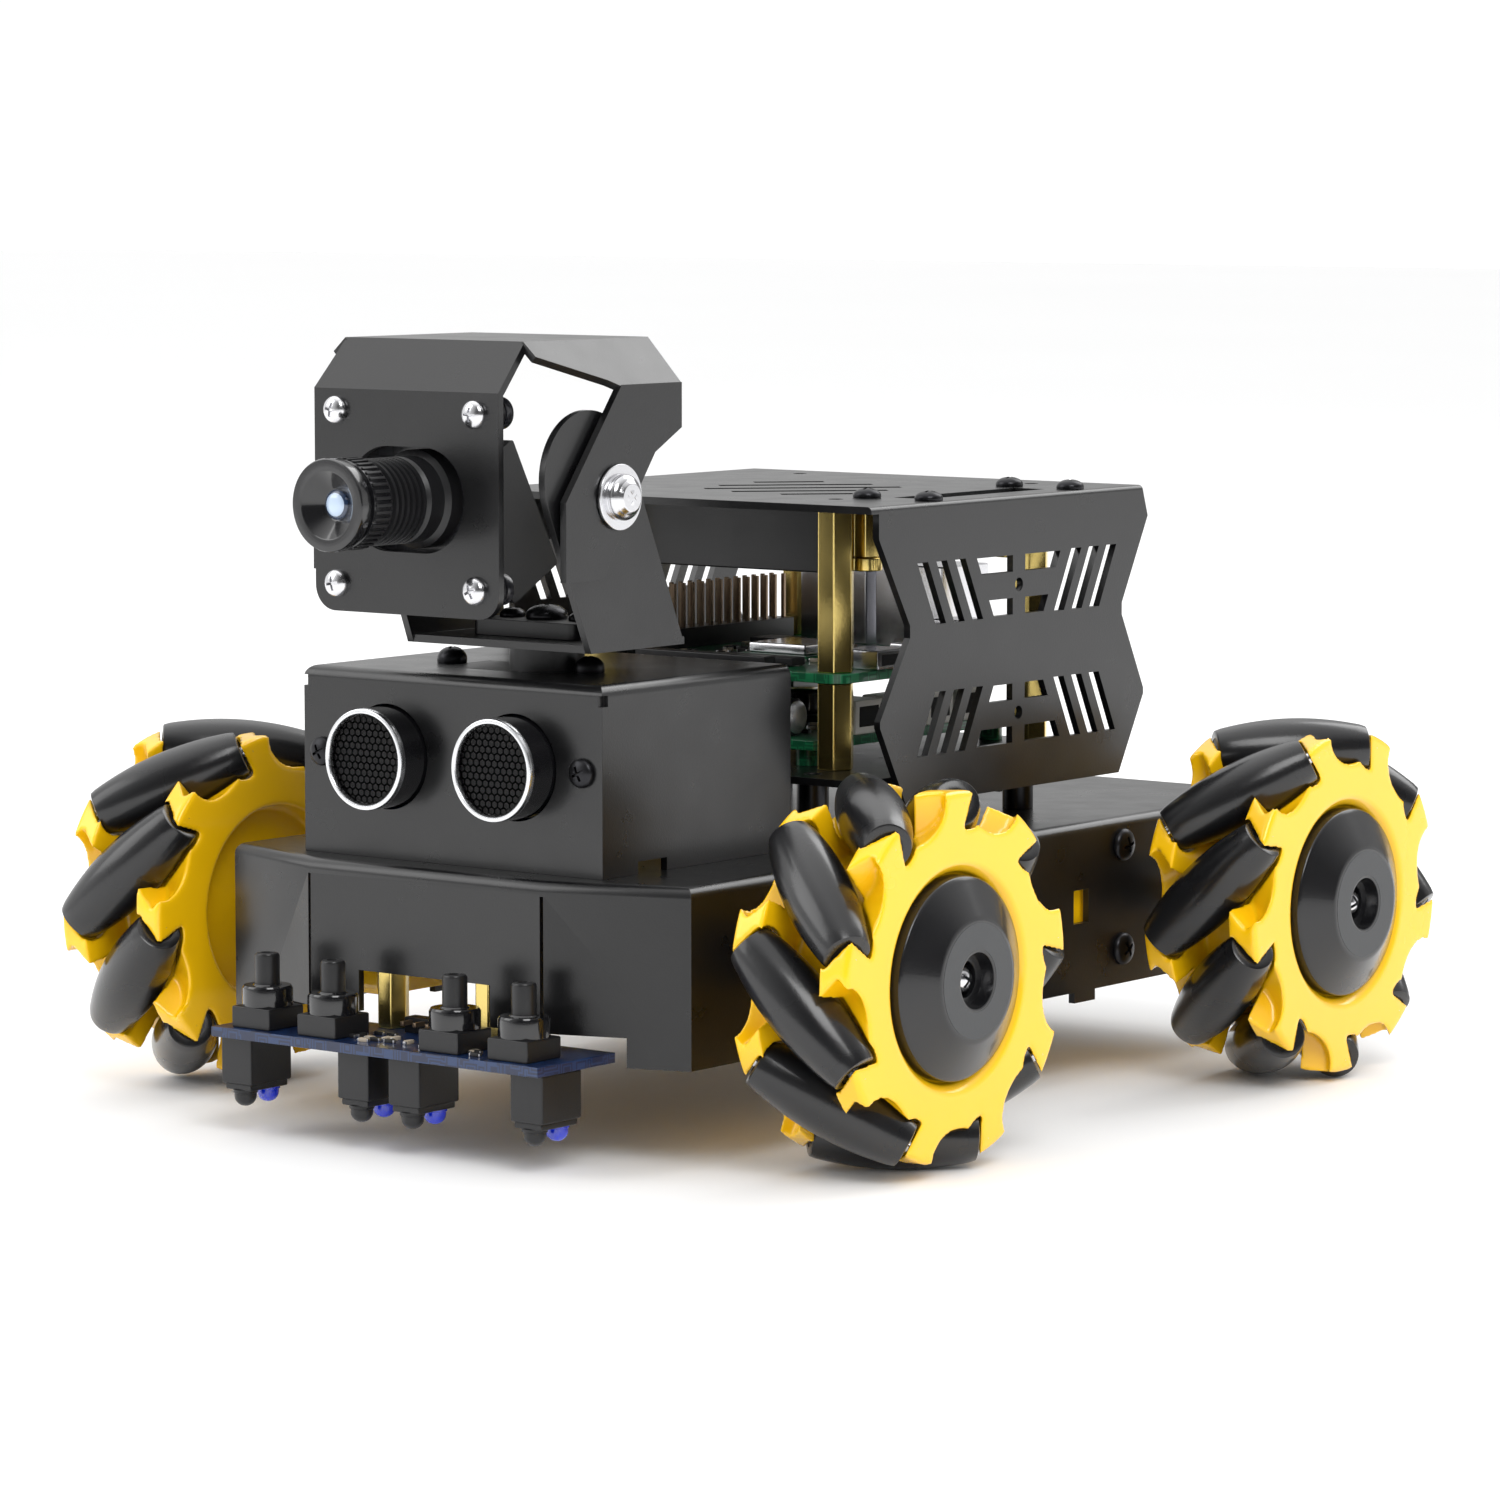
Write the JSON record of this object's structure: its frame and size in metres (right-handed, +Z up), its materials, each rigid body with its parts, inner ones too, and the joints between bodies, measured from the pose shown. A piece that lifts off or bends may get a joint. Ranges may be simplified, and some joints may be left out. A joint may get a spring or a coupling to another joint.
{
  "type": "mecanum wheel robot",
  "caption": "Sheet-metal rover on mecanum wheels with a pan-and-tilt camera, distance and line sensors and a vented electronics cover.",
  "frame": {"origin": "on the ground under the middle of the bounding box", "axes": "+X the robot's left, -Y forward, +Z up"},
  "size_m": [0.1674, 0.1956, 0.125],
  "materials": {
    "black_sheet": "satin",
    "yellow_plastic": "gloss",
    "roller_rubber": "gloss",
    "black_plastic": "matte",
    "aluminium": "satin",
    "brass": "satin",
    "circuit_board": "satin",
    "dark_steel": "satin"
  },
  "bodies": {
    "chassis": {"chassis_tray": "black_sheet", "gear_motors": "yellow_plastic", "sensor_box": "black_sheet", "ultrasonic_sensor": "aluminium", "pan_servo": "black_plastic", "top_cover": "black_sheet", "electronics_plate": "black_sheet", "standoffs": "brass", "controller_board": "circuit_board", "board_components": "black_plastic", "driver_board": "circuit_board", "battery_pack": "black_plastic", "line_sensor": "black_plastic", "body_screws": "dark_steel"},
    "pan_head": {"pan_bracket": "black_sheet", "pan_horn": "black_plastic", "tilt_servo": "black_plastic"},
    "camera_head": {"camera_bracket": "black_sheet", "camera_module": "black_plastic"},
    "lens": {"focus_ring": "aluminium"},
    "wheel_front_left": {"wheel_front_left": "yellow_plastic"},
    "roller_front_left_1": {"roller_front_left_1": "roller_rubber"},
    "roller_front_left_2": {"roller_front_left_2": "roller_rubber"},
    "roller_front_left_3": {"roller_front_left_3": "roller_rubber"},
    "roller_front_left_4": {"roller_front_left_4": "roller_rubber"},
    "roller_front_left_5": {"roller_front_left_5": "roller_rubber"},
    "roller_front_left_6": {"roller_front_left_6": "roller_rubber"},
    "roller_front_left_7": {"roller_front_left_7": "roller_rubber"},
    "roller_front_left_8": {"roller_front_left_8": "roller_rubber"},
    "roller_front_left_9": {"roller_front_left_9": "roller_rubber"},
    "wheel_front_right": {"wheel_front_right": "yellow_plastic"},
    "roller_front_right_1": {"roller_front_right_1": "roller_rubber"},
    "roller_front_right_2": {"roller_front_right_2": "roller_rubber"},
    "roller_front_right_3": {"roller_front_right_3": "roller_rubber"},
    "roller_front_right_4": {"roller_front_right_4": "roller_rubber"},
    "roller_front_right_5": {"roller_front_right_5": "roller_rubber"},
    "roller_front_right_6": {"roller_front_right_6": "roller_rubber"},
    "roller_front_right_7": {"roller_front_right_7": "roller_rubber"},
    "roller_front_right_8": {"roller_front_right_8": "roller_rubber"},
    "roller_front_right_9": {"roller_front_right_9": "roller_rubber"},
    "wheel_rear_left": {"wheel_rear_left": "yellow_plastic"},
    "roller_rear_left_1": {"roller_rear_left_1": "roller_rubber"},
    "roller_rear_left_2": {"roller_rear_left_2": "roller_rubber"},
    "roller_rear_left_3": {"roller_rear_left_3": "roller_rubber"},
    "roller_rear_left_4": {"roller_rear_left_4": "roller_rubber"},
    "roller_rear_left_5": {"roller_rear_left_5": "roller_rubber"},
    "roller_rear_left_6": {"roller_rear_left_6": "roller_rubber"},
    "roller_rear_left_7": {"roller_rear_left_7": "roller_rubber"},
    "roller_rear_left_8": {"roller_rear_left_8": "roller_rubber"},
    "roller_rear_left_9": {"roller_rear_left_9": "roller_rubber"},
    "wheel_rear_right": {"wheel_rear_right": "yellow_plastic"},
    "roller_rear_right_1": {"roller_rear_right_1": "roller_rubber"},
    "roller_rear_right_2": {"roller_rear_right_2": "roller_rubber"},
    "roller_rear_right_3": {"roller_rear_right_3": "roller_rubber"},
    "roller_rear_right_4": {"roller_rear_right_4": "roller_rubber"},
    "roller_rear_right_5": {"roller_rear_right_5": "roller_rubber"},
    "roller_rear_right_6": {"roller_rear_right_6": "roller_rubber"},
    "roller_rear_right_7": {"roller_rear_right_7": "roller_rubber"},
    "roller_rear_right_8": {"roller_rear_right_8": "roller_rubber"},
    "roller_rear_right_9": {"roller_rear_right_9": "roller_rubber"}
  },
  "joints": [
    {"name": "pan", "type": "hinge", "parent": "chassis", "child": "pan_head", "pos_m": [0.00535, -0.05255, 0.0772], "axis": [0, 0, 1], "range_deg": [-90, 90]},
    {"name": "tilt", "type": "hinge", "parent": "pan_head", "child": "camera_head", "pos_m": [0, -0.05995, 0.1011], "axis": [1, 0, 0], "range_deg": [-60, 20]},
    {"name": "front_left_spin", "type": "hinge", "parent": "chassis", "child": "wheel_front_left", "pos_m": [0.06915, -0.046, 0.03], "axis": [1, 0, 0], "continuous": true},
    {"name": "front_right_spin", "type": "hinge", "parent": "chassis", "child": "wheel_front_right", "pos_m": [-0.06915, -0.046, 0.03], "axis": [1, 0, 0], "continuous": true},
    {"name": "rear_left_spin", "type": "hinge", "parent": "chassis", "child": "wheel_rear_left", "pos_m": [0.06915, 0.0645, 0.03], "axis": [1, 0, 0], "continuous": true},
    {"name": "rear_right_spin", "type": "hinge", "parent": "chassis", "child": "wheel_rear_right", "pos_m": [-0.06915, 0.0645, 0.03], "axis": [1, 0, 0], "continuous": true},
    {"name": "focus", "type": "hinge", "parent": "camera_head", "child": "lens", "pos_m": [0, -0.09375, 0.1007], "axis": [0, 1, 0], "range_deg": [-150, 150]},
    {"name": "front_left_roller_1", "type": "hinge", "parent": "wheel_front_left", "child": "roller_front_left_1", "pos_m": [0.06915, -0.0238, 0.04083], "axis": [0.7071, -0.31, 0.6355], "continuous": true},
    {"name": "front_left_roller_2", "type": "hinge", "parent": "wheel_front_left", "child": "roller_front_left_2", "pos_m": [0.06915, -0.03595, 0.05257], "axis": [0.7071, -0.646, 0.2876], "continuous": true},
    {"name": "front_left_roller_3", "type": "hinge", "parent": "wheel_front_left", "child": "roller_front_left_3", "pos_m": [0.06915, -0.05281, 0.05374], "axis": [0.7071, -0.6797, -0.1949], "continuous": true},
    {"name": "front_left_roller_4", "type": "hinge", "parent": "wheel_front_left", "child": "roller_front_left_4", "pos_m": [0.06915, -0.06648, 0.04381], "axis": [0.7071, -0.3954, -0.5862], "continuous": true},
    {"name": "front_left_roller_5", "type": "hinge", "parent": "wheel_front_left", "child": "roller_front_left_5", "pos_m": [0.06915, -0.07057, 0.02742], "axis": [0.7071, 0.0739, -0.7032], "continuous": true},
    {"name": "front_left_roller_6", "type": "hinge", "parent": "wheel_front_left", "child": "roller_front_left_6", "pos_m": [0.06915, -0.06316, 0.01223], "axis": [0.7071, 0.5087, -0.4912], "continuous": true},
    {"name": "front_left_roller_7", "type": "hinge", "parent": "wheel_front_left", "child": "roller_front_left_7", "pos_m": [0.06915, -0.04772, 0.00536], "axis": [0.7071, 0.7054, -0.0493], "continuous": true},
    {"name": "front_left_roller_8", "type": "hinge", "parent": "wheel_front_left", "child": "roller_front_left_8", "pos_m": [0.06915, -0.03148, 0.01002], "axis": [0.7071, 0.5721, 0.4156], "continuous": true},
    {"name": "front_left_roller_9", "type": "hinge", "parent": "wheel_front_left", "child": "roller_front_left_9", "pos_m": [0.06915, -0.02203, 0.02403], "axis": [0.7071, 0.1711, 0.6861], "continuous": true},
    {"name": "front_right_roller_1", "type": "hinge", "parent": "wheel_front_right", "child": "roller_front_right_1", "pos_m": [-0.06915, -0.02135, 0.03151], "axis": [0.7071, 0.0432, -0.7058], "continuous": true},
    {"name": "front_right_roller_2", "type": "hinge", "parent": "wheel_front_right", "child": "roller_front_right_2", "pos_m": [-0.06915, -0.02808, 0.047], "axis": [0.7071, 0.4867, -0.5129], "continuous": true},
    {"name": "front_right_roller_3", "type": "hinge", "parent": "wheel_front_right", "child": "roller_front_right_3", "pos_m": [-0.06915, -0.0432, 0.05454], "axis": [0.7071, 0.7026, -0.08], "continuous": true},
    {"name": "front_right_roller_4", "type": "hinge", "parent": "wheel_front_right", "child": "roller_front_right_4", "pos_m": [-0.06915, -0.05963, 0.0506], "axis": [0.7071, 0.5896, 0.3903], "continuous": true},
    {"name": "front_right_roller_5", "type": "hinge", "parent": "wheel_front_right", "child": "roller_front_right_5", "pos_m": [-0.06915, -0.06968, 0.03701], "axis": [0.7071, 0.2008, 0.678], "continuous": true},
    {"name": "front_right_roller_6", "type": "hinge", "parent": "wheel_front_right", "child": "roller_front_right_6", "pos_m": [-0.06915, -0.06865, 0.02015], "axis": [0.7071, -0.282, 0.6485], "continuous": true},
    {"name": "front_right_roller_7", "type": "hinge", "parent": "wheel_front_right", "child": "roller_front_right_7", "pos_m": [-0.06915, -0.05702, 0.00789], "axis": [0.7071, -0.6328, 0.3155], "continuous": true},
    {"name": "front_right_roller_8", "type": "hinge", "parent": "wheel_front_right", "child": "roller_front_right_8", "pos_m": [-0.06915, -0.04023, 0.00598], "axis": [0.7071, -0.6876, -0.1651], "continuous": true},
    {"name": "front_right_roller_9", "type": "hinge", "parent": "wheel_front_right", "child": "roller_front_right_9", "pos_m": [-0.06915, -0.02615, 0.01531], "axis": [0.7071, -0.4206, -0.5684], "continuous": true},
    {"name": "rear_left_roller_1", "type": "hinge", "parent": "wheel_rear_left", "child": "roller_rear_left_1", "pos_m": [0.06915, 0.0887, 0.03492], "axis": [0.7071, 0.141, -0.6929], "continuous": true},
    {"name": "rear_left_roller_2", "type": "hinge", "parent": "wheel_rear_left", "child": "roller_rear_left_2", "pos_m": [0.06915, 0.07988, 0.04933], "axis": [0.7071, 0.5534, -0.4402], "continuous": true},
    {"name": "rear_left_roller_3", "type": "hinge", "parent": "wheel_rear_left", "child": "roller_rear_left_3", "pos_m": [0.06915, 0.06385, 0.05469], "axis": [0.7071, 0.7069, 0.0185], "continuous": true},
    {"name": "rear_left_roller_4", "type": "hinge", "parent": "wheel_rear_left", "child": "roller_rear_left_4", "pos_m": [0.06915, 0.04813, 0.0485], "axis": [0.7071, 0.5296, 0.4685], "continuous": true},
    {"name": "rear_left_roller_5", "type": "hinge", "parent": "wheel_rear_left", "child": "roller_rear_left_5", "pos_m": [0.06915, 0.04007, 0.03365], "axis": [0.7071, 0.1045, 0.6993], "continuous": true},
    {"name": "rear_left_roller_6", "type": "hinge", "parent": "wheel_rear_left", "child": "roller_rear_left_6", "pos_m": [0.06915, 0.04344, 0.01709], "axis": [0.7071, -0.3695, 0.6029], "continuous": true},
    {"name": "rear_left_roller_7", "type": "hinge", "parent": "wheel_rear_left", "child": "roller_rear_left_7", "pos_m": [0.06915, 0.05666, 0.00658], "axis": [0.7071, -0.6706, 0.2244], "continuous": true},
    {"name": "rear_left_roller_8", "type": "hinge", "parent": "wheel_rear_left", "child": "roller_rear_left_8", "pos_m": [0.06915, 0.07355, 0.00702], "axis": [0.7071, -0.6579, -0.2592], "continuous": true},
    {"name": "rear_left_roller_9", "type": "hinge", "parent": "wheel_rear_left", "child": "roller_rear_left_9", "pos_m": [0.06915, 0.08621, 0.01821], "axis": [0.7071, -0.3374, -0.6214], "continuous": true},
    {"name": "rear_right_roller_1", "type": "hinge", "parent": "wheel_rear_right", "child": "roller_rear_right_1", "pos_m": [-0.06915, 0.0867, 0.04083], "axis": [0.7071, -0.31, 0.6355], "continuous": true},
    {"name": "rear_right_roller_2", "type": "hinge", "parent": "wheel_rear_right", "child": "roller_rear_right_2", "pos_m": [-0.06915, 0.07455, 0.05257], "axis": [0.7071, -0.646, 0.2876], "continuous": true},
    {"name": "rear_right_roller_3", "type": "hinge", "parent": "wheel_rear_right", "child": "roller_rear_right_3", "pos_m": [-0.06915, 0.05769, 0.05374], "axis": [0.7071, -0.6797, -0.1949], "continuous": true},
    {"name": "rear_right_roller_4", "type": "hinge", "parent": "wheel_rear_right", "child": "roller_rear_right_4", "pos_m": [-0.06915, 0.04402, 0.04381], "axis": [0.7071, -0.3954, -0.5862], "continuous": true},
    {"name": "rear_right_roller_5", "type": "hinge", "parent": "wheel_rear_right", "child": "roller_rear_right_5", "pos_m": [-0.06915, 0.03993, 0.02742], "axis": [0.7071, 0.0739, -0.7032], "continuous": true},
    {"name": "rear_right_roller_6", "type": "hinge", "parent": "wheel_rear_right", "child": "roller_rear_right_6", "pos_m": [-0.06915, 0.04734, 0.01223], "axis": [0.7071, 0.5087, -0.4912], "continuous": true},
    {"name": "rear_right_roller_7", "type": "hinge", "parent": "wheel_rear_right", "child": "roller_rear_right_7", "pos_m": [-0.06915, 0.06278, 0.00536], "axis": [0.7071, 0.7054, -0.0493], "continuous": true},
    {"name": "rear_right_roller_8", "type": "hinge", "parent": "wheel_rear_right", "child": "roller_rear_right_8", "pos_m": [-0.06915, 0.07902, 0.01002], "axis": [0.7071, 0.5721, 0.4156], "continuous": true},
    {"name": "rear_right_roller_9", "type": "hinge", "parent": "wheel_rear_right", "child": "roller_rear_right_9", "pos_m": [-0.06915, 0.08847, 0.02403], "axis": [0.7071, 0.1711, 0.6861], "continuous": true}
  ]
}
